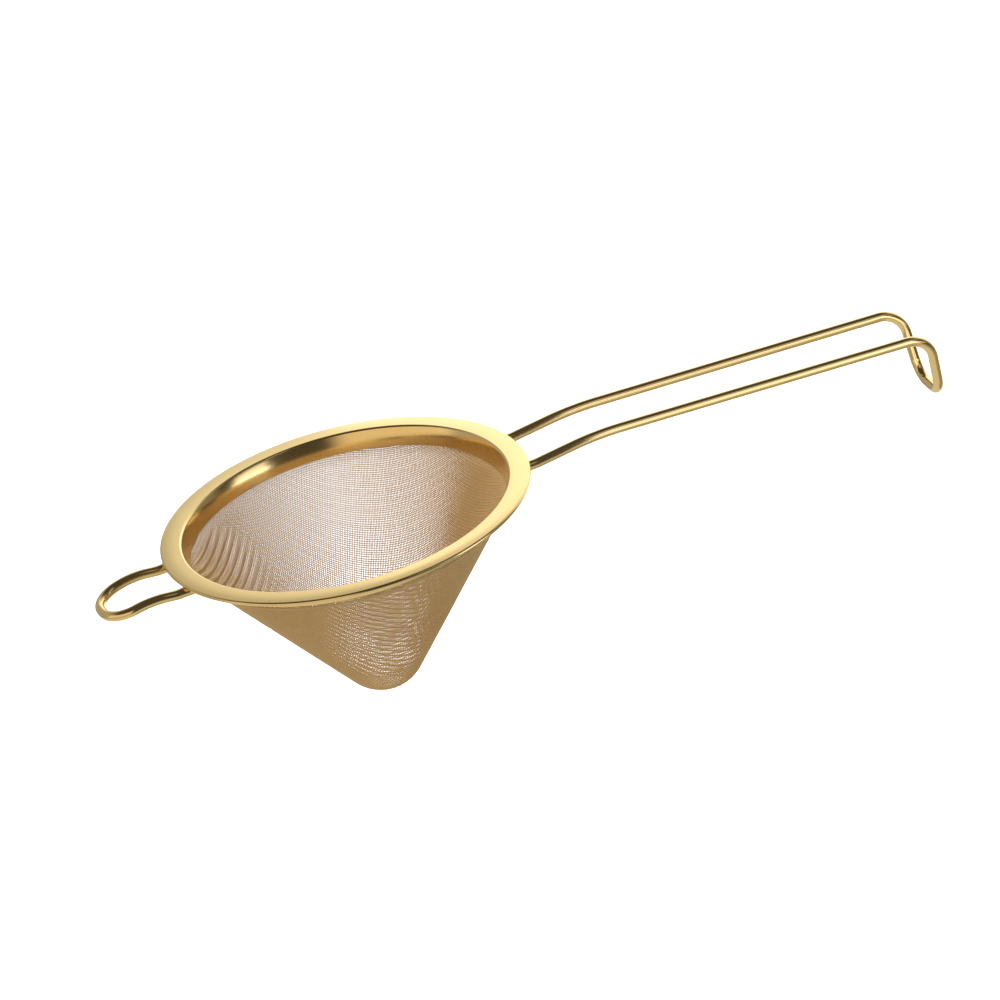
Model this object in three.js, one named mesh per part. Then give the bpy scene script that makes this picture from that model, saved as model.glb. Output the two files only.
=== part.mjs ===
// A conical fine-mesh strainer for drinks: a pressed metal rim with a woven wire cone hung
// inside it, a long handle bent from one wire and ending in a hook, and a short wire loop
// opposite the handle that rests on the far lip of the glass.
//
// Millimetres. The rim's flat top is the plane z = 0 and its centre is the origin.
// +X runs along the handle, +Z points out of the mouth and the cone hangs towards -Z.

import * as THREE from 'three';

// Rim: one sheet-metal pressing with a hemmed outer edge and a rolled inner edge
const RIM_RADIUS = 47.5;
const SHEET = 0.4;
const HEM_HEIGHT = 1.3;
const HEM_WIDTH = 2.6;
const ROLL_START_RADIUS = 42.45;
const ROLL_RADIUS = 0.68;
const ROLL_TURN = 66;
const COLLAR_TURN = 84;
const COLLAR_BOTTOM = -5.05;

// Cloth cone: a straight cone with a round tip and a short upright skirt.
// CONE_REACH is the radius where the cone ends and bends up into the skirt.
const CLOTH = 0.4;
const CONE_ANGLE = THREE.MathUtils.degToRad(37.2);
const CONE_TIP_RADIUS = 11.5;
const CONE_BOTTOM = -51.3;
const CONE_REACH = 39.57;
const SKIRT_INSIDE = 41.37;
const SKIRT_TOP = -3.2;
const SKIRT_BOTTOM = -5.12;

// Band that clamps the skirt against the collar
const BAND_THICKNESS = 0.6;
const BAND_TOP = -2.6;
const BAND_BOTTOM = -4.2;

// Wires
const WIRE_RADIUS = 1.3;
const WIRE_SIDES = 8;
const WIRE_START_X = 41.95;

// Handle wire, one side of it: the other side is its mirror image in y
const HANDLE_HALF_GAP = 9.15;
const HANDLE_LEAVES_RIM_X = 48.5;
const HANDLE_BEND_X = 65.2;
const HANDLE_BEND_Z = -0.95;
const HANDLE_BEND_RADIUS = 80;
const HOOK_HALF_GAP = 9.5;
const HOOK_CORNER_X = 155.7;
const HOOK_CORNER_Z = -7.5;
const HOOK_CORNER_RADIUS = 6.8;
const HOOK_FOOT_X = 156.3;
const HOOK_FOOT_Z = -25.3;
const HOOK_FOOT_HALF_GAP = 6.8;
const HOOK_FOOT_RADIUS = 6;

// Rest loop, one side of it
const LOOP_HALF_GAP = 8.2;
const LOOP_LEAVES_RIM_X = -48.5;
const LOOP_BEND_X = -55;
const LOOP_BEND_Z = -1.7;
const LOOP_BEND_RADIUS = 24;
const LOOP_END_X = -66.2;
const LOOP_END_Z = -3.9;
const LOOP_END_HALF_GAP = 7.5;
const LOOP_END_RADIUS = 7.2;

// Weld spots between the wires' ends and the underside of the rim
const WELD_RADIUS = 0.95;
const WELD_RIM_DISTANCE = 43.75;

// Clearances that keep neighbouring solids apart
const FACE_GAP = 0.02;
const RING_GAP = 0.1;

const RING_SEGMENTS = 64;
const HANDLE_STEPS = 150;
const LOOP_STEPS = 52;

const skirtOutside = SKIRT_INSIDE + CLOTH;
const bandInside = skirtOutside + RING_GAP;
const wireZ = -HEM_HEIGHT - FACE_GAP - WIRE_RADIUS;

const gold = { color: 0xe3bd72, roughness: 0.16, metalness: 1 };
const clothGold = { color: 0xb89863, roughness: 0.4, metalness: 1 };

function material(look) {
  return new THREE.MeshStandardMaterial(look);
}

// Points of a circular arc in the (radius, height) plane
function arc(centreR, centreZ, radius, fromDegrees, toDegrees, steps) {
  const points = [];
  for (let i = 0; i <= steps; i += 1) {
    const angle = THREE.MathUtils.degToRad(fromDegrees + ((toDegrees - fromDegrees) * i) / steps);
    points.push(new THREE.Vector2(centreR + radius * Math.cos(angle), centreZ + radius * Math.sin(angle)));
  }
  return points;
}

function point(r, z) {
  return new THREE.Vector2(r, z);
}

// Turns a (radius, height) outline about the Z axis
function revolve(outline, segments) {
  const geometry = new THREE.LatheGeometry(outline, segments);
  geometry.rotateX(Math.PI / 2);
  return geometry;
}

// A circular bend in space, from a start point about a centre
class Bend extends THREE.Curve {
  constructor(centre, start, axis, angle) {
    super();
    this.centre = centre;
    this.spoke = start.clone().sub(centre);
    this.axis = axis;
    this.angle = angle;
  }

  getPoint(t, target = new THREE.Vector3()) {
    return target.copy(this.spoke).applyAxisAngle(this.axis, this.angle * t).add(this.centre);
  }
}

// A wire's centre line: straight runs between the corners, each corner rounded to its own radius
function bentPath(corners) {
  const path = new THREE.CurvePath();
  let from = corners[0].at;
  for (let i = 1; i < corners.length - 1; i += 1) {
    const corner = corners[i];
    const inward = corner.at.clone().sub(corners[i - 1].at).normalize();
    const outward = corners[i + 1].at.clone().sub(corner.at).normalize();
    const angle = inward.angleTo(outward);
    const setback = corner.radius * Math.tan(angle / 2);
    const start = corner.at.clone().addScaledVector(inward, -setback);
    const axis = inward.clone().cross(outward).normalize();
    const centre = start.clone().addScaledVector(axis.clone().cross(inward), corner.radius);
    path.add(new THREE.LineCurve3(from, start));
    path.add(new Bend(centre, start, axis, angle));
    from = corner.at.clone().addScaledVector(outward, setback);
  }
  path.add(new THREE.LineCurve3(from, corners[corners.length - 1].at));
  return path;
}

function corner(x, y, z, radius = 0) {
  return { at: new THREE.Vector3(x, y, z), radius };
}

// The whole wire from the corners of its +y side
function mirroredPath(side) {
  const otherSide = side.map(({ at, radius }) => corner(at.x, -at.y, at.z, radius)).reverse();
  return bentPath([...side, ...otherSide]);
}

function wire(path, steps) {
  const section = new THREE.Shape();
  for (let i = 0; i < WIRE_SIDES; i += 1) {
    const angle = (2 * Math.PI * i) / WIRE_SIDES;
    const x = WIRE_RADIUS * Math.cos(angle);
    const y = WIRE_RADIUS * Math.sin(angle);
    if (i === 0) {
      section.moveTo(x, y);
    } else {
      section.lineTo(x, y);
    }
  }
  section.closePath();
  return new THREE.ExtrudeGeometry(section, { steps, extrudePath: path, bevelEnabled: false });
}

// The collar's wall from the roll down, a long gentle curve: offset 0 is the inner face
function collarWall(offset) {
  const start = THREE.MathUtils.degToRad(ROLL_TURN);
  const end = THREE.MathUtils.degToRad(COLLAR_TURN);
  const startR = ROLL_START_RADIUS - ROLL_RADIUS * Math.sin(start);
  const startZ = -ROLL_RADIUS * (1 - Math.cos(start));
  const radius = (startZ - COLLAR_BOTTOM) / (Math.cos(start) - Math.cos(end));
  const centreR = startR + radius * Math.sin(start);
  const centreZ = startZ - radius * Math.cos(start);
  return arc(centreR, centreZ, radius - offset, 90 + ROLL_TURN, 90 + COLLAR_TURN, 5);
}

// Rim: hem at the outer edge, flat top, rolled inner edge, flared collar hanging from the roll
function rimFlange() {
  const hemRadius = HEM_HEIGHT / 2;
  const hemCentre = RIM_RADIUS - hemRadius;
  const rollEnd = 90 + ROLL_TURN;
  const innerFace = collarWall(0);
  const outerFace = collarWall(SHEET).reverse();
  const outline = [
    ...outerFace,
    ...arc(ROLL_START_RADIUS, -ROLL_RADIUS, ROLL_RADIUS - SHEET, rollEnd, 90, 2).slice(1),
    point(RIM_RADIUS - HEM_WIDTH, -SHEET),
    point(RIM_RADIUS - HEM_WIDTH, -HEM_HEIGHT),
    ...arc(hemCentre, -hemRadius, hemRadius, -90, 90, 6),
    ...arc(ROLL_START_RADIUS, -ROLL_RADIUS, ROLL_RADIUS, 90, rollEnd, 3),
    ...innerFace.slice(1),
    outerFace[0].clone(),
  ];
  return revolve(outline, RING_SEGMENTS);
}

// Cloth cone: its outer surface from the tip up, over the skirt's top edge, and back down inside
function meshCone() {
  const slope = THREE.MathUtils.radToDeg(CONE_ANGLE);
  const tipCentre = CONE_BOTTOM + CONE_TIP_RADIUS;
  const tangentR = CONE_TIP_RADIUS * Math.cos(CONE_ANGLE);
  const tangentZ = tipCentre - CONE_TIP_RADIUS * Math.sin(CONE_ANGLE);
  const shoulderZ = tangentZ + (CONE_REACH - tangentR) / Math.tan(CONE_ANGLE);
  const innerRadius = CONE_TIP_RADIUS - CLOTH;
  const inR = CLOTH * Math.cos(CONE_ANGLE);
  const inZ = CLOTH * Math.sin(CONE_ANGLE);
  const outline = [
    ...arc(0, tipCentre, CONE_TIP_RADIUS, -90, -slope, 7),
    point(CONE_REACH, shoulderZ),
    point(skirtOutside - 0.3, SKIRT_BOTTOM - 0.55),
    point(skirtOutside, SKIRT_BOTTOM),
    point(skirtOutside, SKIRT_TOP),
    point(SKIRT_INSIDE, SKIRT_TOP),
    point(SKIRT_INSIDE, SKIRT_BOTTOM),
    point(SKIRT_INSIDE - 0.25, SKIRT_BOTTOM - 0.2),
    point(CONE_REACH - inR, shoulderZ + inZ),
    ...arc(0, tipCentre, innerRadius, -slope, -90, 7),
  ];
  outline[0].x = 0;
  outline[outline.length - 1].x = 0;
  return revolve(outline, RING_SEGMENTS);
}

// Band round the skirt
function clampBand() {
  const outside = bandInside + BAND_THICKNESS;
  const outline = [
    point(bandInside, BAND_BOTTOM),
    point(outside, BAND_BOTTOM),
    point(outside, BAND_TOP),
    point(bandInside, BAND_TOP),
    point(bandInside, BAND_BOTTOM),
  ];
  return revolve(outline, RING_SEGMENTS);
}

function handleWire() {
  const side = [
    corner(WIRE_START_X, HANDLE_HALF_GAP, wireZ),
    corner(HANDLE_LEAVES_RIM_X, HANDLE_HALF_GAP, wireZ, 12),
    corner(HANDLE_BEND_X, HANDLE_HALF_GAP, HANDLE_BEND_Z, HANDLE_BEND_RADIUS),
    corner(HOOK_CORNER_X, HOOK_HALF_GAP, HOOK_CORNER_Z, HOOK_CORNER_RADIUS),
    corner(HOOK_FOOT_X, HOOK_FOOT_HALF_GAP, HOOK_FOOT_Z, HOOK_FOOT_RADIUS),
  ];
  return wire(mirroredPath(side), HANDLE_STEPS);
}

function restLoop() {
  const side = [
    corner(-WIRE_START_X, LOOP_HALF_GAP, wireZ),
    corner(LOOP_LEAVES_RIM_X, LOOP_HALF_GAP, wireZ, 12),
    corner(LOOP_BEND_X, LOOP_HALF_GAP, LOOP_BEND_Z, LOOP_BEND_RADIUS),
    corner(LOOP_END_X, LOOP_END_HALF_GAP, LOOP_END_Z, LOOP_END_RADIUS),
  ];
  return wire(mirroredPath(side), LOOP_STEPS);
}

// A spot of weld metal that fills the space between the rim's underside and a wire's end
function weldSpot() {
  const top = -SHEET - FACE_GAP;
  const bottom = -HEM_HEIGHT;
  const outline = [
    point(0, bottom),
    point(WELD_RADIUS * 0.75, bottom),
    point(WELD_RADIUS, (top + bottom) / 2),
    point(WELD_RADIUS * 0.9, top),
    point(0, top),
  ];
  return revolve(outline, 12);
}

const strainer = new THREE.Group();

function add(name, geometry, look) {
  const mesh = new THREE.Mesh(geometry, material(look));
  mesh.name = name;
  strainer.add(mesh);
  return mesh;
}

// Places a weld spot over a wire, at the given sign of x and the given y
function addWeld(name, end, y) {
  const x = end * Math.sqrt(WELD_RIM_DISTANCE ** 2 - y ** 2);
  add(name, weldSpot(), gold).position.set(x, y, 0);
}

add('rim_flange', rimFlange(), gold);
add('mesh_cone', meshCone(), clothGold);
add('clamp_band', clampBand(), gold);
add('handle_wire', handleWire(), gold);
add('rest_loop', restLoop(), gold);
addWeld('handle_weld_left', 1, HANDLE_HALF_GAP);
addWeld('handle_weld_right', 1, -HANDLE_HALF_GAP);
addWeld('loop_weld_left', -1, LOOP_HALF_GAP);
addWeld('loop_weld_right', -1, -LOOP_HALF_GAP);

export default strainer;
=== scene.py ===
"""A conical fine-mesh strainer: a polished gold-tone rim and wires round a woven wire cone."""

import math

import bpy
import numpy as np
from mathutils import Matrix, Vector


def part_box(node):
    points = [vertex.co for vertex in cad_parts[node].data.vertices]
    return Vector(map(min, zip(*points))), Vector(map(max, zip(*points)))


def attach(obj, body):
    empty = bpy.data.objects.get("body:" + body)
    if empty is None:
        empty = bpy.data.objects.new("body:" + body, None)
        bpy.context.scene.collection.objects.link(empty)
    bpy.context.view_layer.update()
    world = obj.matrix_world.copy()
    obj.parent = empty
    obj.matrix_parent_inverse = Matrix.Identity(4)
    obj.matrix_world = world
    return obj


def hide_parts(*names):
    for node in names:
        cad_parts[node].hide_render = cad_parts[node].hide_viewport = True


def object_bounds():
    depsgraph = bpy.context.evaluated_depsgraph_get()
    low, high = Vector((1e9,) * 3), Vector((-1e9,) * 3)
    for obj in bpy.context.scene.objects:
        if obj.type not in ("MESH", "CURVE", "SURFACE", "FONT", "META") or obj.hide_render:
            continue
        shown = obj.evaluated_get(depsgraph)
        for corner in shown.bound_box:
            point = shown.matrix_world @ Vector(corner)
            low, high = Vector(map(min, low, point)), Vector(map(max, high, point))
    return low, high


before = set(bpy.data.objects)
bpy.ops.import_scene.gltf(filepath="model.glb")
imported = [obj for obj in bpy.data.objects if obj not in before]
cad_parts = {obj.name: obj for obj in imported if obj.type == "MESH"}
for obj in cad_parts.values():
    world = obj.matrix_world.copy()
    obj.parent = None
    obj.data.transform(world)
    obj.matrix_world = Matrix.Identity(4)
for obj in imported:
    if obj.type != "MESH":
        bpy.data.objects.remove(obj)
cad_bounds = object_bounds()
MM = 0.001

# ---- places and sizes taken from the frame ----

rim_low, rim_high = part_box("rim_flange")
cone_low, cone_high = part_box("mesh_cone")
band_low, band_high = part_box("clamp_band")

RIM_RADIUS = rim_high.x
RIM_TOP = rim_high.z
COLLAR_BOTTOM = rim_low.z
CLOTH_BOTTOM = cone_low.z
SKIRT_TOP = cone_high.z
SKIRT_OUTSIDE = cone_high.x
BAND_OUTSIDE = band_high.x
BAND_BOTTOM = band_low.z
BAND_TOP = band_high.z

# ---- driving dimensions of the pressed sheet, the cloth and the wires ----

SHEET = 0.4 * MM
HEM_HEIGHT = 1.3 * MM
HEM_WIDTH = 2.6 * MM
ROLL_START_RADIUS = 42.45 * MM
ROLL_RADIUS = 0.68 * MM
ROLL_TURN = 66.0
THROAT_TURN = 84.0
CROWN = 0.25 * MM
CROWN_START = 0.8 * MM

CLOTH_THICKNESS = 0.4 * MM
CONE_ANGLE = math.radians(37.2)
CONE_TIP_RADIUS = 11.5 * MM
CONE_REACH = 39.57 * MM
BAND_THICKNESS = 0.6 * MM
BAND_EDGE = 0.15 * MM

WIRE_RADIUS = 1.3 * MM
FACE_GAP = 0.02 * MM

RING_STEPS = 384


# ---- mesh helpers ----

def make_quads(name, verts, quads, caps=()):
    """A smooth mesh object from an array of vertices and an array of quads, with any extra polygons."""
    mesh = bpy.data.meshes.new(name)
    loops = [np.asarray(quads, np.int32).ravel()] + [np.asarray(c, np.int32) for c in caps]
    cap_sizes = np.array([len(c) for c in caps], np.int32)
    sizes = np.concatenate([np.full(len(quads), 4, np.int32), cap_sizes])
    starts = np.concatenate([[0], np.cumsum(sizes)[:-1]]).astype(np.int32)
    loops = np.concatenate(loops).astype(np.int32)
    mesh.vertices.add(len(verts))
    mesh.vertices.foreach_set("co", np.asarray(verts, np.float32).ravel())
    mesh.loops.add(len(loops))
    mesh.loops.foreach_set("vertex_index", loops)
    mesh.polygons.add(len(sizes))
    mesh.polygons.foreach_set("loop_start", starts)
    mesh.polygons.foreach_set("loop_total", sizes)
    mesh.update(calc_edges=True)
    mesh.validate()
    mesh.polygons.foreach_set("use_smooth", np.ones(len(mesh.polygons), bool))
    piece = bpy.data.objects.new(name, mesh)
    bpy.context.scene.collection.objects.link(piece)
    return piece


def arc(centre_r, centre_z, radius, start, end, steps):
    """Points of a circular arc in the (radius, height) plane, angles in degrees."""
    angles = np.radians(np.linspace(start, end, steps + 1))
    return [(centre_r + radius * math.cos(a), centre_z + radius * math.sin(a)) for a in angles]


def revolve(name, outline):
    """A closed ring: the closed (radius, height) outline turned about the Z axis."""
    outline = np.array(outline)
    count = len(outline)
    turn = np.linspace(0, 2 * math.pi, RING_STEPS, endpoint=False)
    verts = np.stack([
        outline[None, :, 0] * np.cos(turn)[:, None],
        outline[None, :, 0] * np.sin(turn)[:, None],
        np.broadcast_to(outline[None, :, 1], (RING_STEPS, count)),
    ], axis=-1).reshape(-1, 3)
    ring, along = np.meshgrid(np.arange(RING_STEPS), np.arange(count), indexing="ij")
    ring_next = (ring + 1) % RING_STEPS
    along_next = (along + 1) % count
    quads = np.stack([
        ring * count + along,
        ring_next * count + along,
        ring_next * count + along_next,
        ring * count + along_next,
    ], axis=-1).reshape(-1, 4)
    return make_quads(name, verts, quads)


def unit_rows(vectors):
    """The vectors, one to a row, made one unit long."""
    return vectors / np.linalg.norm(vectors, axis=1, keepdims=True)


def ring_spokes(first, second, sides):
    """The spokes of a ring at each point of a path, from two directions square to the path there."""
    angles = np.linspace(0, 2 * math.pi, sides, endpoint=False)[None, :, None]
    return np.cos(angles) * first[:, None] + np.sin(angles) * second[:, None]


def tube_quads(count, sides, base=0):
    """The quads that join a tube's rings, numbered from a base."""
    step, spoke = np.meshgrid(np.arange(count - 1), np.arange(sides), indexing="ij")
    spoke_next = (spoke + 1) % sides
    return np.stack([
        base + step * sides + spoke,
        base + (step + 1) * sides + spoke,
        base + (step + 1) * sides + spoke_next,
        base + step * sides + spoke_next,
    ], axis=-1).reshape(-1, 4)


# ---- rim ----

def crowned_top(steps):
    """The rim's top from the hem to the roll: flat inside, dropping a little towards the outer edge."""
    outer = RIM_RADIUS - HEM_HEIGHT / 2
    flat = ROLL_START_RADIUS + CROWN_START
    points = []
    for r in np.linspace(outer, ROLL_START_RADIUS, steps + 1)[1:-1]:
        drop = max(0.0, (r - flat) / (outer - flat)) ** 2
        points.append((r, RIM_TOP - CROWN * drop))
    return points


def throat(offset, steps):
    """The collar's wall from the roll down to its edge: a long curve, nearly upright at the bottom."""
    start = math.radians(ROLL_TURN)
    end = math.radians(THROAT_TURN)
    start_r = ROLL_START_RADIUS - ROLL_RADIUS * math.sin(start)
    start_z = RIM_TOP - ROLL_RADIUS * (1 - math.cos(start))
    fall = start_z - COLLAR_BOTTOM - SHEET / 2
    radius = fall / (math.cos(start) - math.cos(end))
    centre_r = start_r + radius * math.sin(start)
    centre_z = start_z - radius * math.cos(start)
    return arc(centre_r, centre_z, radius - offset, 90 + ROLL_TURN, 90 + THROAT_TURN, steps)


def build_rim():
    """Sheet pressing: flared collar, rolled inner edge, crowned top, outer edge hemmed under itself."""
    hem_radius = (HEM_HEIGHT - CROWN) / 2
    hem_r = RIM_RADIUS - hem_radius
    hem_z = RIM_TOP - CROWN - hem_radius
    fold_radius = hem_radius - SHEET
    hem_end = RIM_RADIUS - HEM_WIDTH
    layer = hem_z - (hem_radius + fold_radius) / 2
    edge = SHEET / 2
    wall = throat(0, 30)
    back = throat(SHEET, 30)
    outline = []
    outline += wall
    outline += arc(wall[-1][0] + edge, wall[-1][1], edge, 180, 360, 10)[1:-1]
    outline += back[::-1]
    outline += arc(ROLL_START_RADIUS, RIM_TOP - ROLL_RADIUS, ROLL_RADIUS - SHEET, 90 + ROLL_TURN, 90, 8)[1:]
    outline += [(r, z - SHEET) for r, z in crowned_top(10)[::-1]]
    outline += arc(hem_r, hem_z, fold_radius, 90, -90, 8)
    outline += arc(hem_end + edge, layer, edge, 90, 270, 8)
    outline += arc(hem_r, hem_z, hem_radius, -90, 82, 20)
    outline += crowned_top(18)
    outline += arc(ROLL_START_RADIUS, RIM_TOP - ROLL_RADIUS, ROLL_RADIUS, 90, 90 + ROLL_TURN, 16)[:-1]
    return revolve("pressed_rim", outline)


def build_band():
    """The clamping band round the cloth's skirt, with rounded edges."""
    inside = BAND_OUTSIDE - BAND_THICKNESS
    soft = BAND_EDGE
    outline = []
    outline += arc(inside + soft, BAND_BOTTOM + soft, soft, 180, 270, 5)
    outline += arc(BAND_OUTSIDE - soft, BAND_BOTTOM + soft, soft, 270, 360, 5)
    outline += arc(BAND_OUTSIDE - soft, BAND_TOP - soft, soft, 0, 90, 5)
    outline += arc(inside + soft, BAND_TOP - soft, soft, 90, 180, 5)
    return revolve("cloth_clamp_band", outline)


# ---- woven cloth ----

CLOTH_WIRE_RADIUS = 0.115 * MM
CLOTH_WIRES = 220
CLOTH_SIDES = 6
REED_DEPTH = 0.07
REED_SCATTER = 0.015
REED_SEED = 7
WARP_GROUP = 3
WEFT_GROUP = 4
WEAVE_TURN = math.radians(31)
SLANT = math.radians(28)
STRAIGHT_RIPPLE_HEIGHT = 0.36 * MM
SLANTED_RIPPLE_HEIGHT = 0.25 * MM
STRAIGHT_RIPPLE = 2.35 * MM
SLANTED_RIPPLE = 2.3 * MM
CROWDING = 0.45
DRAW_POWER = 1.1
CLOTH_PIECES = 3
OVER_LIFT = 1.02
SHOULDER_LIFT = 0.62

# Where the ripples start and where they are full, as fractions of the flat disc's radius:
# the straight ones on the side away from the handle and towards +Y, the slanted ones towards -Y.
STRAIGHT_SIDE = (0.32, 0.62)
STRAIGHT_BACK = (0.0, 0.2)
STRAIGHT_END = (-0.75, -0.5)
SLANTED_FRONT = (0.12, 0.35)
SLANTED_SIDES = (-0.5, -0.2)
SLANTED_MIDDLE = -0.03


def cloth_profile():
    """The cloth's middle surface as (radius, height), from the centre of the tip to the skirt's top."""
    half = CLOTH_THICKNESS / 2
    tip_centre = CLOTH_BOTTOM + CONE_TIP_RADIUS
    tip = CONE_TIP_RADIUS - half
    slope = math.degrees(CONE_ANGLE)
    tangent_r = CONE_TIP_RADIUS * math.cos(CONE_ANGLE)
    tangent_z = tip_centre - CONE_TIP_RADIUS * math.sin(CONE_ANGLE)
    shoulder_z = tangent_z + (CONE_REACH - tangent_r) / math.tan(CONE_ANGLE)
    shoulder = (CONE_REACH - half * math.cos(CONE_ANGLE), shoulder_z + half * math.sin(CONE_ANGLE))
    skirt = SKIRT_OUTSIDE - half
    points = arc(0, tip_centre, tip, -90, -slope, 24)
    points += [shoulder]
    bend = np.linspace(0, 1, 8)[1:]
    corner = (skirt, shoulder[1] + (skirt - shoulder[0]) * SHOULDER_LIFT)
    end = (skirt, COLLAR_BOTTOM)
    for t in bend:
        r = (1 - t) ** 2 * shoulder[0] + 2 * t * (1 - t) * corner[0] + t * t * end[0]
        z = (1 - t) ** 2 * shoulder[1] + 2 * t * (1 - t) * corner[1] + t * t * end[1]
        points.append((r, z))
    points.append((skirt, SKIRT_TOP))
    return np.array(points)


def fade(value, start, end):
    """0 below start, 1 above end, smooth between."""
    t = np.clip((value - start) / (end - start), 0, 1)
    return t * t * (3 - 2 * t)


def turned(a, b):
    """The disc's (u, v), with u along the handle, of positions (a, b) in the cloth's own directions."""
    turn_cos, turn_sin = math.cos(WEAVE_TURN), math.sin(WEAVE_TURN)
    return a * turn_cos + b * turn_sin, b * turn_cos - a * turn_sin


class ClothSurface:
    """Maps the flat disc of cloth, of radius 1, onto the pressed cone."""

    def __init__(self):
        profile = cloth_profile()
        steps = np.hypot(*np.diff(profile, axis=0).T)
        length = np.concatenate([[0], np.cumsum(steps)])
        self.total = length[-1]
        self.s = np.linspace(0, self.total, 2000)
        self.r = np.interp(self.s, length, profile[:, 0])
        self.z = np.interp(self.s, length, profile[:, 1])
        kernel = np.hanning(41)
        kernel /= kernel.sum()
        dr = np.gradient(self.r, self.s)
        dz = np.gradient(self.z, self.s)
        self.dr = np.convolve(np.pad(dr, 20, mode="edge"), kernel, mode="valid")
        self.dz = np.convolve(np.pad(dz, 20, mode="edge"), kernel, mode="valid")

    def place(self, a, b):
        """Points and outward normals for positions (a, b) across the cloth's two families of wires."""
        u, v = turned(a, b)
        crease = np.sin(2 * math.pi * a * self.total / STRAIGHT_RIPPLE)
        crease *= fade(-u, *STRAIGHT_SIDE) * fade(v, *STRAIGHT_BACK) * fade(-v, *STRAIGHT_END)
        crowded = a + CROWDING * STRAIGHT_RIPPLE / (2 * math.pi * self.total) * crease
        u, v = turned(crowded, b)
        rho = np.hypot(u, v)
        phi = np.arctan2(v, u)
        s = self.total * rho ** (1 / DRAW_POWER)
        r = np.interp(s, self.s, self.r)
        z = np.interp(s, self.s, self.z)
        dr = np.interp(s, self.s, self.dr)
        dz = np.interp(s, self.s, self.dz)
        size = np.hypot(dr, dz)
        points = np.stack([r * np.cos(phi), r * np.sin(phi), z], axis=-1)
        normals = np.stack([dz / size * np.cos(phi), dz / size * np.sin(phi), -dr / size], axis=-1)
        across = v * math.cos(SLANT) - u * math.sin(SLANT)
        slanted = np.sin(2 * math.pi * across * self.total / SLANTED_RIPPLE)
        slanted *= fade(-v, *SLANTED_FRONT) * fade(-abs(u - SLANTED_MIDDLE), *SLANTED_SIDES)
        lift = STRAIGHT_RIPPLE_HEIGHT * crease + SLANTED_RIPPLE_HEIGHT * slanted
        return points + normals * lift[:, None], normals


def wire_positions(rng, group):
    """Where one family's wires lie across the flat disc: in groups of so many, with some scatter."""
    number = np.arange(CLOTH_WIRES)
    gaps = 1 + REED_DEPTH * np.cos(2 * math.pi * number / group) + rng.normal(0, REED_SCATTER, CLOTH_WIRES)
    places = np.cumsum(gaps)
    places -= (places[0] + places[-1]) / 2
    return places / (abs(places).max() + 0.5)


def cloth_wire_rings(points, normals):
    """Rings of a cloth wire along a polyline, turned to the surface's normal."""
    tangent = unit_rows(np.gradient(points, axis=0))
    side = unit_rows(np.cross(tangent, normals))
    up = np.cross(side, tangent)
    return points[:, None] + CLOTH_WIRE_RADIUS * ring_spokes(up, side, CLOTH_SIDES)


def cloth_family(surface, places, crossing, along_v, wires):
    """Vertices, quads and caps of some of one family's wires, going over and under the other's."""
    verts, quads, caps = [], [], []
    base = 0
    lift = CLOTH_WIRE_RADIUS * OVER_LIFT
    sides = CLOTH_SIDES
    for i in wires:
        inside = np.nonzero(places[i] ** 2 + crossing ** 2 < 1)[0]
        if len(inside) < 3:
            continue
        across = crossing[inside]
        fixed = np.full(len(inside), places[i])
        u, v = (fixed, across) if along_v else (across, fixed)
        points, normals = surface.place(u, v)
        over = np.where((i + inside) % 2 == 0, 1.0, -1.0)
        if not along_v:
            over = -over
        points = points + normals * (over * lift)[:, None]
        count = len(inside)
        verts.append(cloth_wire_rings(points, normals).reshape(-1, 3))
        quads.append(tube_quads(count, sides, base))
        caps.append(base + np.arange(sides))
        caps.append(base + (count - 1) * sides + np.arange(sides)[::-1])
        base += count * sides
    return np.concatenate(verts), np.concatenate(quads), caps


def build_cloth():
    """Plain-weave wire cloth pressed into the cone: two families of wires, each in a few pieces."""
    rng = np.random.default_rng(REED_SEED)
    surface = ClothSurface()
    places = wire_positions(rng, WARP_GROUP)
    crossing = wire_positions(rng, WEFT_GROUP)
    pieces = []
    for family, (own, other, along_v) in {
        "cloth_warp": (places, crossing, True),
        "cloth_weft": (crossing, places, False),
    }.items():
        for part, wires in enumerate(np.array_split(np.arange(CLOTH_WIRES), CLOTH_PIECES)):
            verts, quads, caps = cloth_family(surface, own, other, along_v, wires)
            pieces.append(make_quads(f"{family}_{part + 1}", verts, quads, caps))
    return pieces


# ---- bent wires ----

PATH_STEP = 0.5 * MM
BEND_FINENESS = 1.6


def rounded_path(corners):
    """Points along straight runs joined by bends: corners are (point, bend radius)."""
    points = [np.array(corners[0][0])]
    for before, (at, radius), after in zip(corners, corners[1:], corners[2:]):
        at = np.array(at)
        inward = at - np.array(before[0])
        inward /= np.linalg.norm(inward)
        outward = np.array(after[0]) - at
        outward /= np.linalg.norm(outward)
        angle = math.acos(np.clip(inward @ outward, -1, 1))
        setback = radius * math.tan(angle / 2)
        start = at - inward * setback
        axis = np.cross(inward, outward)
        axis /= np.linalg.norm(axis)
        centre = start + np.cross(axis, inward) * radius
        spoke = start - centre
        steps = max(4, int(radius * angle / PATH_STEP * BEND_FINENESS))
        for turn in np.linspace(0, angle, steps + 1):
            points.append(centre + spoke * math.cos(turn) + np.cross(axis, spoke) * math.sin(turn))
    points.append(np.array(corners[-1][0]))
    filled = [points[0]]
    for a, b in zip(points, points[1:]):
        pieces = max(1, int(np.linalg.norm(b - a) / (PATH_STEP * 2)))
        filled += [a + (b - a) * k / pieces for k in range(1, pieces + 1)]
    return np.array(filled)


def mirrored(side):
    """The corners of a whole wire from those of its +y side."""
    return side + [((x, -y, z), radius) for (x, y, z), radius in reversed(side)]


WIRE_SIDES = 28
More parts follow.
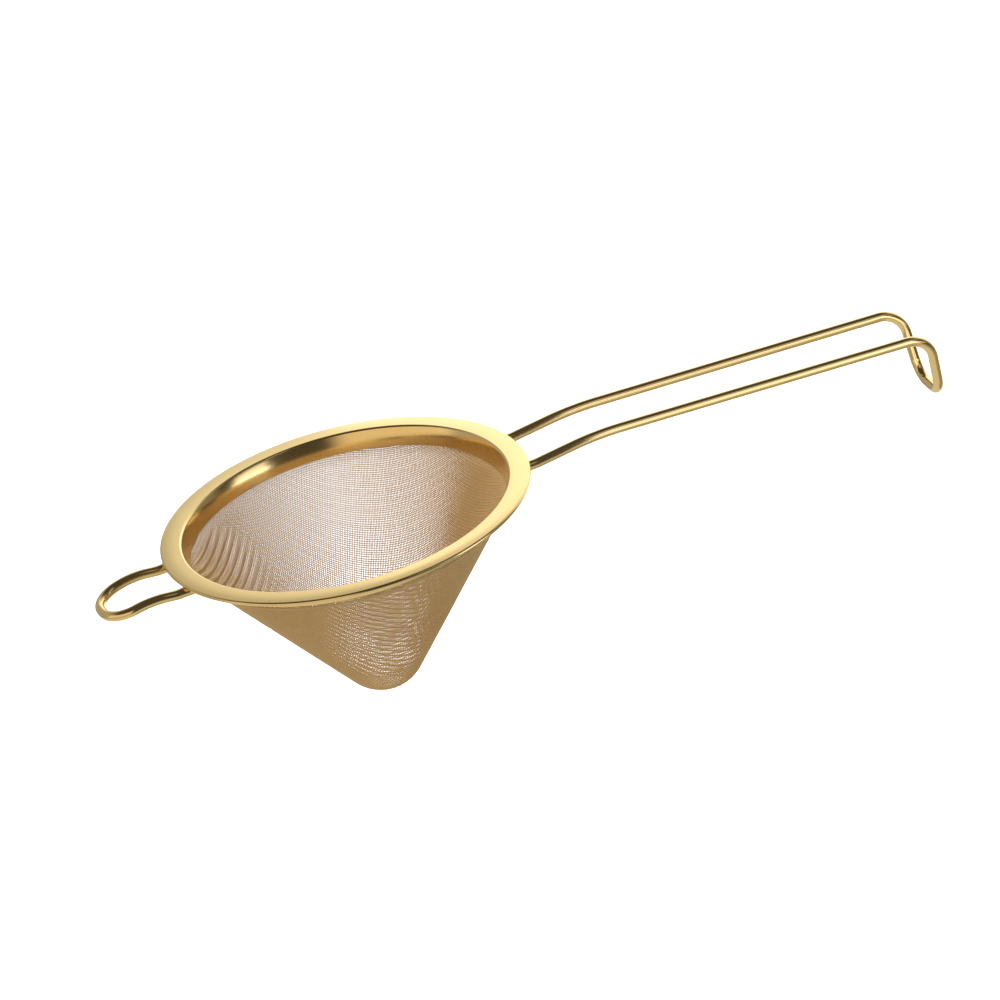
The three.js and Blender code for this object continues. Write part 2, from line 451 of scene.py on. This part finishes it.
# how far the rings of a wire's rounded end are drawn in, and how far they stand out, in wire radii
WIRE_END = ((0.93, 0.1), (0.8, 0.17), (0.5, 0.22))


def steady_frames(tangent):
    """For each point of a path a direction square to it, carried along from the upward one."""
    up = np.array([0.0, 0.0, 1.0])
    frames = []
    for along in tangent:
        up = up - along * (up @ along)
        up /= np.linalg.norm(up)
        frames.append(up)
    return np.array(frames)


def build_wire(name, path):
    """A round wire along a path, with its two ends slightly rounded."""
    tangent = unit_rows(np.gradient(path, axis=0))
    frames = steady_frames(tangent)
    rings = path[:, None] + WIRE_RADIUS * ring_spokes(frames, np.cross(tangent, frames), WIRE_SIDES)
    count = len(path)
    quads = tube_quads(count, WIRE_SIDES)
    verts = [rings.reshape(-1, 3)]
    end_quads, caps = [], []
    base = count * WIRE_SIDES
    for index, sign in ((0, -1), (count - 1, 1)):
        previous = index * WIRE_SIDES + np.arange(WIRE_SIDES)
        for inset, out in WIRE_END:
            middle = path[index] + sign * tangent[index] * WIRE_RADIUS * out
            verts.append(middle + (rings[index] - path[index]) * inset)
            current = base + np.arange(WIRE_SIDES)
            corners = [previous, current, np.roll(current, -1), np.roll(previous, -1)]
            end_quads.append(np.stack(corners[::sign], axis=-1))
            previous = current
            base += WIRE_SIDES
        caps.append(previous[::-sign])
    return make_quads(name, np.concatenate(verts), np.concatenate([quads] + end_quads), caps)


# The wires' corners: how far out, half the gap between the two runs, and height.
WIRE_Z = RIM_TOP - HEM_HEIGHT - FACE_GAP - WIRE_RADIUS
WIRE_START = 41.95 * MM
RIM_EXIT = 48.5 * MM
EXIT_BEND = 12 * MM

HANDLE_HALF_GAP = 9.15 * MM
HANDLE_CREST = (65.2 * MM, HANDLE_HALF_GAP, -0.95 * MM)
HANDLE_CREST_BEND = 80 * MM
HOOK_CORNER = (155.7 * MM, 9.5 * MM, -7.5 * MM)
HOOK_CORNER_BEND = 6.8 * MM
HOOK_FOOT = (156.3 * MM, 6.8 * MM, -25.3 * MM)
HOOK_FOOT_BEND = 6.0 * MM

LOOP_HALF_GAP = 8.2 * MM
LOOP_KNEE = (-55 * MM, LOOP_HALF_GAP, -1.7 * MM)
LOOP_KNEE_BEND = 24 * MM
LOOP_END = (-66.2 * MM, 7.5 * MM, -3.9 * MM)
LOOP_END_BEND = 7.2 * MM


def build_handle():
    """The long wire: out from under the rim, over a slight crest, and down at the far end as a hook."""
    side = [
        ((WIRE_START, HANDLE_HALF_GAP, WIRE_Z), 0),
        ((RIM_EXIT, HANDLE_HALF_GAP, WIRE_Z), EXIT_BEND),
        (HANDLE_CREST, HANDLE_CREST_BEND),
        (HOOK_CORNER, HOOK_CORNER_BEND),
        (HOOK_FOOT, HOOK_FOOT_BEND),
    ]
    return build_wire("bent_handle_wire", rounded_path(mirrored(side)))


def build_loop():
    """The short wire opposite the handle."""
    side = [
        ((-WIRE_START, LOOP_HALF_GAP, WIRE_Z), 0),
        ((-RIM_EXIT, LOOP_HALF_GAP, WIRE_Z), EXIT_BEND),
        (LOOP_KNEE, LOOP_KNEE_BEND),
        (LOOP_END, LOOP_END_BEND),
    ]
    return build_wire("bent_rest_loop", rounded_path(mirrored(side)))


# ---- materials ----

GOLD = (0.89, 0.67, 0.32, 1.0)
CLOTH_GOLD = (0.77, 0.535, 0.265, 1)
WELD_GOLD = (0.74, 0.5, 0.25, 1)
DARK_SHARE = 0.95
DRIFT_RANGE = (0.3, 0.7)
GRAIN_SCALE = 12
BUMP_DEPTH = 0.02 * MM


def new_material(name):
    """A metal, with what is needed to add to it."""
    material = bpy.data.materials.new(name)
    material.use_nodes = True
    nodes = material.node_tree.nodes
    shader = nodes["Principled BSDF"]
    shader.inputs["Metallic"].default_value = 1.0
    return material, nodes, material.node_tree.links, shader


def cloth_material(name, colour, roughness, metallic):
    """The cloth's drawn wire: each wire is too thin to show any variation along it."""
    material, _, _, shader = new_material(name)
    shader.inputs["Base Color"].default_value = colour
    shader.inputs["Roughness"].default_value = roughness
    shader.inputs["Metallic"].default_value = metallic
    return material


def gold_material(name, colour, roughness, spread, scale, bump):
    """Polished plated metal: a slow drift in colour and roughness, and a faint fine texture."""
    material, nodes, links, shader = new_material(name)
    place = nodes.new("ShaderNodeTexCoord")
    drift = nodes.new("ShaderNodeTexNoise")
    drift.inputs["Scale"].default_value = scale
    drift.inputs["Detail"].default_value = 4
    links.new(place.outputs["Object"], drift.inputs["Vector"])
    tint = nodes.new("ShaderNodeMapRange")
    tint.inputs["To Min"].default_value = roughness - spread
    tint.inputs["To Max"].default_value = roughness + spread
    links.new(drift.outputs["Fac"], tint.inputs["Value"])
    links.new(tint.outputs["Result"], shader.inputs["Roughness"])
    ramp = nodes.new("ShaderNodeValToRGB")
    ramp.color_ramp.elements[0].position = DRIFT_RANGE[0]
    ramp.color_ramp.elements[0].color = tuple(c * DARK_SHARE for c in colour[:3]) + (1,)
    ramp.color_ramp.elements[1].position = DRIFT_RANGE[1]
    ramp.color_ramp.elements[1].color = colour
    links.new(drift.outputs["Fac"], ramp.inputs["Fac"])
    links.new(ramp.outputs["Color"], shader.inputs["Base Color"])
    grain = nodes.new("ShaderNodeTexNoise")
    grain.inputs["Scale"].default_value = scale * GRAIN_SCALE
    grain.inputs["Detail"].default_value = 3
    links.new(place.outputs["Object"], grain.inputs["Vector"])
    press = nodes.new("ShaderNodeBump")
    press.inputs["Strength"].default_value = bump
    press.inputs["Distance"].default_value = BUMP_DEPTH
    links.new(grain.outputs["Fac"], press.inputs["Height"])
    links.new(press.outputs["Normal"], shader.inputs["Normal"])
    return material


def dress(piece, material, node):
    """Gives a piece its material and its body, and hides the CAD node it stands for."""
    piece.data.materials.append(material)
    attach(piece, "root")
    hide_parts(node)


# ---- studio ----

FLOOR_DROP = 0.30
FLOOR_HALF_WIDTH = 45.0
FLOOR_WHITE = (0.9, 0.9, 0.9, 1)


def direction(azimuth, elevation):
    """A unit vector: azimuth in degrees from +X towards +Y, elevation above the floor."""
    a, e = math.radians(azimuth), math.radians(elevation)
    return (math.cos(a) * math.cos(e), math.sin(a) * math.cos(e), math.sin(e))


def sine(degrees):
    return math.sin(math.radians(degrees))


def cosine(degrees):
    return math.cos(math.radians(degrees))


def toward(nodes, links, turn, azimuth):
    """The cosine of the angle between a level direction and an azimuth."""
    dot = nodes.new("ShaderNodeVectorMath")
    dot.operation = "DOT_PRODUCT"
    dot.inputs[1].default_value = direction(azimuth, 0)
    links.new(turn, dot.inputs[0])
    return dot.outputs["Value"]


def add_panel(nodes, links, turn, height, panel):
    """Brightness of one studio panel: ranges of azimuth and elevation with soft edges, in degrees."""
    azimuth, half_width, soft_turn, low, high, soft_rise, brightness = panel
    outer = cosine(half_width + soft_turn)
    inner = cosine(half_width - soft_turn)
    total = soft_step(nodes, links, toward(nodes, links, turn, azimuth), outer, inner, 0.0, brightness)
    rise = soft_step(nodes, links, height, sine(low - LOW_EDGE), sine(low + LOW_EDGE), 0.0, 1.0)
    total = combine(nodes, links, "MULTIPLY", total, rise)
    fall = soft_step(nodes, links, height, sine(high - soft_rise), sine(high + soft_rise), 1.0, 0.0)
    return combine(nodes, links, "MULTIPLY", total, fall)


def soft_step(nodes, links, value, start, end, first, last):
    """A smooth change from first to last as the value goes from start to end."""
    node = nodes.new("ShaderNodeMapRange")
    node.interpolation_type = "SMOOTHSTEP"
    node.inputs["From Min"].default_value = start
    node.inputs["From Max"].default_value = end
    node.inputs["To Min"].default_value = first
    node.inputs["To Max"].default_value = last
    links.new(value, node.inputs["Value"])
    return node.outputs["Result"]


def add_light(nodes, links, total, brightness, colour):
    """The light so far, or the room's, plus a colour at a brightness."""
    scaled = nodes.new("ShaderNodeVectorMath")
    scaled.operation = "SCALE"
    scaled.inputs[0].default_value = colour
    links.new(brightness, scaled.inputs["Scale"])
    both = nodes.new("ShaderNodeVectorMath")
    both.operation = "ADD"
    links.new(scaled.outputs["Vector"], both.inputs[0])
    if total is None:
        both.inputs[1].default_value = ROOM
    else:
        links.new(total, both.inputs[1])
    return both.outputs["Vector"]


def combine(nodes, links, operation, first, second):
    """A Math node on two values, each a socket or a number."""
    node = nodes.new("ShaderNodeMath")
    node.operation = operation
    for socket, value in zip(node.inputs, (first, second)):
        if isinstance(value, (int, float)):
            socket.default_value = value
        else:
            links.new(value, socket)
    return node.outputs["Value"]


# azimuth, half width and its soft edge, lowest and highest elevation and its soft edge, in degrees,
# then brightness and colour
PANELS = (
    (48, 31, 12, -25, 45, 16, 0.98, (1.0, 1.0, 0.90)),
    (-150, 41, 9, -12, 34, 7, 0.80, (1.0, 0.84, 0.62)),
    (125, 45, 12, -12, 46, 10, 0.38, (1.0, 0.97, 0.88)),
    (8, 22, 9, -12, 45, 7, 0.20, (1.0, 0.94, 0.8)),
)
LOW_EDGE = 7
ROOM = (0.07, 0.063, 0.048)

# light bounced up from the floor, weaker from the side towards the shaded azimuth
BOUNCE = 0.66
BOUNCE_COLOUR = (1.0, 0.98, 0.84)
BOUNCE_FULL_BELOW = -35
BOUNCE_GONE_ABOVE = -5
SHADED_SIDE = -18
SHADE_START = 0.3
SHADE_FULL = 0.95
SHADE_SHARE = 0.4


def build_world():
    """A dim warm studio with soft panels round the object."""
    world = bpy.data.worlds.new("studio")
    bpy.context.scene.world = world
    world.use_nodes = True
    nodes, links = world.node_tree.nodes, world.node_tree.links
    background = nodes["Background"]
    place = nodes.new("ShaderNodeTexCoord")
    split = nodes.new("ShaderNodeSeparateXYZ")
    links.new(place.outputs["Generated"], split.inputs["Vector"])
    height = split.outputs["Z"]
    flat = nodes.new("ShaderNodeVectorMath")
    flat.operation = "MULTIPLY"
    flat.inputs[1].default_value = (1, 1, 0)
    links.new(place.outputs["Generated"], flat.inputs[0])
    turn = nodes.new("ShaderNodeVectorMath")
    turn.operation = "NORMALIZE"
    links.new(flat.outputs["Vector"], turn.inputs[0])
    turned_to = turn.outputs["Vector"]
    shaded = toward(nodes, links, turned_to, SHADED_SIDE)
    share = soft_step(nodes, links, shaded, SHADE_START, SHADE_FULL, BOUNCE, BOUNCE * SHADE_SHARE)
    below = soft_step(nodes, links, height, sine(BOUNCE_FULL_BELOW), sine(BOUNCE_GONE_ABOVE), 1.0, 0.0)
    below = combine(nodes, links, "MULTIPLY", below, share)
    light = add_light(nodes, links, None, below, BOUNCE_COLOUR)
    for *panel, colour in PANELS:
        brightness = add_panel(nodes, links, turned_to, height, panel)
        light = add_light(nodes, links, light, brightness, colour)
    links.new(light, background.inputs["Color"])
    background.inputs["Strength"].default_value = 1.0


def build_floor():
    """A plain matt floor below the object, which neither reflects in it nor lights it."""
    size = FLOOR_HALF_WIDTH
    z = cad_bounds[0][2] - FLOOR_DROP
    corners = [(-size, -size, z), (size, -size, z), (size, size, z), (-size, size, z)]
    floor = make_quads("studio_floor", corners, [(0, 1, 2, 3)])
    material = bpy.data.materials.new("floor_white")
    material.use_nodes = True
    shader = material.node_tree.nodes["Principled BSDF"]
    shader.inputs["Base Color"].default_value = FLOOR_WHITE
    shader.inputs["Roughness"].default_value = 0.9
    shader.inputs["Specular IOR Level"].default_value = 0.0
    floor.data.materials.append(material)
    floor.visible_glossy = False
    floor.visible_diffuse = False


# centre, width, height and brightness of the upright softboxes that face the object along Y
SOFTBOXES = (
    (0.54, 0.6, 0.17, 0.8, 0.55, 0.42),
    (0.15, -0.11, 0.005, 0.13, 0.11, 1.25),
    (0.62, -0.5, 0.03, 0.66, 0.13, 1.15),
    (0.58, -0.5, 0.60, 0.76, 0.5, 0.42),
)

SUN_STRENGTH = 5.9
SUN_COLOUR = (1.0, 1.0, 1.03)
SUN_SPREAD = math.radians(40)
SUN_TILT = (math.radians(-20), math.radians(-5), 0)


def build_lights():
    """Softboxes that show as highlights, and a broad overhead sun that doesn't show in reflections."""
    for number, (x, y, z, width, height, brightness) in enumerate(SOFTBOXES):
        box = bpy.data.lights.new(f"softbox_{number + 1}", "AREA")
        box.shape = "RECTANGLE"
        box.size = width
        box.size_y = height
        box.energy = brightness * math.pi * width * height
        panel = bpy.data.objects.new(box.name, box)
        panel.location = (x, y, z)
        panel.rotation_euler = (math.radians(-90 if y > 0 else 90), 0, 0)
        panel.visible_camera = False
        bpy.context.scene.collection.objects.link(panel)
    lamp = bpy.data.lights.new("overhead", "SUN")
    lamp.energy = SUN_STRENGTH
    lamp.color = SUN_COLOUR
    lamp.angle = SUN_SPREAD
    light = bpy.data.objects.new("overhead", lamp)
    light.rotation_euler = SUN_TILT
    light.visible_glossy = False
    bpy.context.scene.collection.objects.link(light)


CAMERA_AZIMUTH = math.radians(-13.955)
CAMERA_ELEVATION = math.radians(26.17)
CAMERA_ROLL = math.radians(-14.195)
CAMERA_DISTANCE = 42.005 * RIM_RADIUS
CAMERA_AIM_RIGHT = 0.80095 * RIM_RADIUS
CAMERA_AIM_UP = -0.1648 * RIM_RADIUS
CAMERA_LENS = 288
CAMERA_SENSOR = 36
CAMERA_CLIP_END = 50


def build_camera():
    """A long lens a little above the object, rolled so that the handle climbs to the right."""
    a, e = CAMERA_AZIMUTH, CAMERA_ELEVATION
    back = Vector((math.sin(a) * math.cos(e), -math.cos(a) * math.cos(e), math.sin(e)))
    right = Vector((math.cos(a), math.sin(a), 0))
    up = back.cross(right)
    rolled_right = right * math.cos(CAMERA_ROLL) + up * math.sin(CAMERA_ROLL)
    rolled_up = up * math.cos(CAMERA_ROLL) - right * math.sin(CAMERA_ROLL)
    place = right * CAMERA_AIM_RIGHT + up * CAMERA_AIM_UP + back * CAMERA_DISTANCE
    data = bpy.data.cameras.new("camera")
    data.lens = CAMERA_LENS
    data.sensor_width = CAMERA_SENSOR
    data.clip_end = CAMERA_CLIP_END
    camera = bpy.data.objects.new("camera", data)
    camera.matrix_world = Matrix((
        (rolled_right.x, rolled_up.x, back.x, place.x),
        (rolled_right.y, rolled_up.y, back.y, place.y),
        (rolled_right.z, rolled_up.z, back.z, place.z),
        (0, 0, 0, 1),
    ))
    bpy.context.scene.collection.objects.link(camera)
    bpy.context.scene.camera = camera


# ---- assembly ----

build_camera()
build_world()
build_lights()
build_floor()
bpy.context.scene.view_settings.view_transform = "Standard"

rim_gold = gold_material("rim_gold", GOLD, 0.17, 0.03, 60, 0.05)
wire_gold = gold_material("wire_gold", GOLD, 0.14, 0.04, 90, 0.08)
cloth_gold = cloth_material("cloth_gold", CLOTH_GOLD, 0.34, 0.7)
weld_gold = gold_material("weld_gold", WELD_GOLD, 0.35, 0.1, 300, 0.6)

dress(build_rim(), rim_gold, "rim_flange")
dress(build_band(), rim_gold, "clamp_band")
for cloth_piece in build_cloth():
    dress(cloth_piece, cloth_gold, "mesh_cone")
dress(build_handle(), wire_gold, "handle_wire")
dress(build_loop(), wire_gold, "rest_loop")
for node in ("handle_weld_left", "handle_weld_right", "loop_weld_left", "loop_weld_right"):
    cad_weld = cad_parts[node]
    cad_weld.data.materials.clear()
    cad_weld.data.materials.append(weld_gold)
